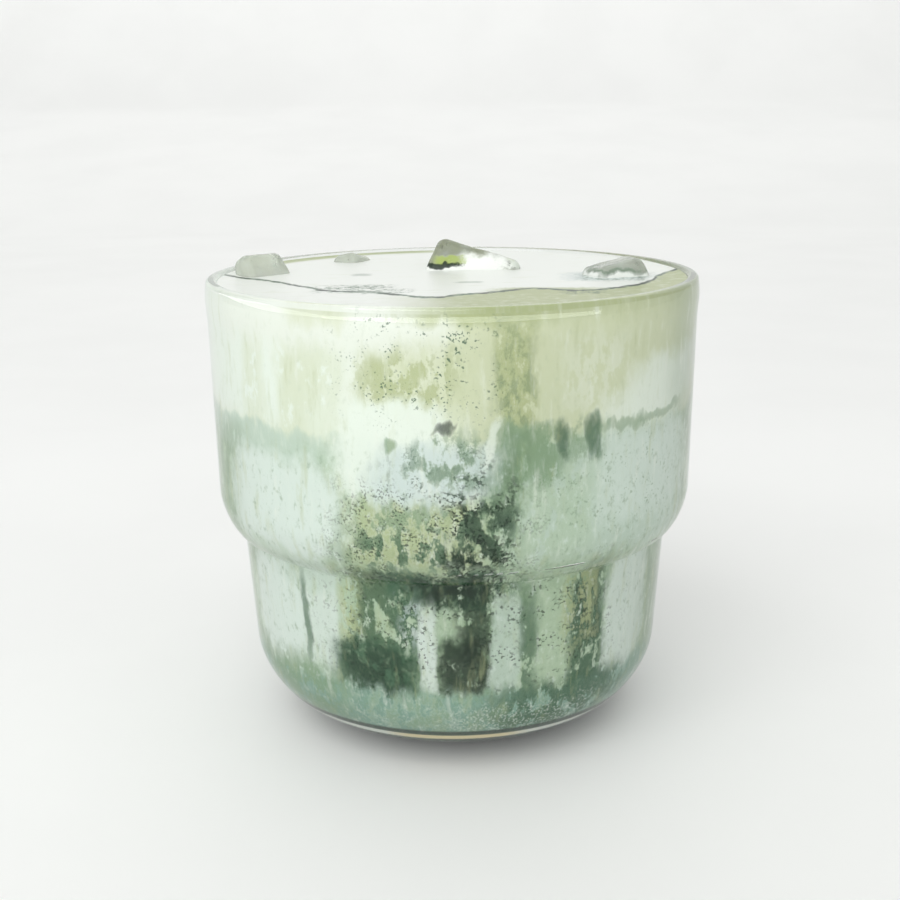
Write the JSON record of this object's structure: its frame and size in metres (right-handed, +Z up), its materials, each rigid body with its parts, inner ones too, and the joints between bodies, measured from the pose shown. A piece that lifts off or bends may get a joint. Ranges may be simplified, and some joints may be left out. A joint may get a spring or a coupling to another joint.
{
  "type": "iced mugwort latte in a glass",
  "caption": "Iced mugwort latte with pale milk on top and green layers below, filled to the brim of a clear stepped stacking tumbler, with ice standing out of its top.",
  "frame": {"origin": "middle of the foot's flat underside, on the surface that the glass stands on", "axes": "+Z up along the axis of the glass; the front, where the white milk sags lowest behind the wall, faces -Y; +X to the right of it"},
  "size_m": [0.088, 0.088, 0.0866],
  "materials": {
    "clear_glass": "clear polished",
    "milk_cream": "wet, white with pale olive streaks",
    "green_latte": "wet, marbled pale and dark green",
    "settled_paste": "wet, teal grey and speckled",
    "ice": "wet and cloudy"
  },
  "bodies": {
    "root": {"glass": "clear_glass", "cream": "milk_cream", "latte": "green_latte", "mugwort_paste": "settled_paste", "ice_centre": "ice", "ice_right": "ice", "ice_left": "ice", "ice_back": "ice"}
  },
  "joints": []
}
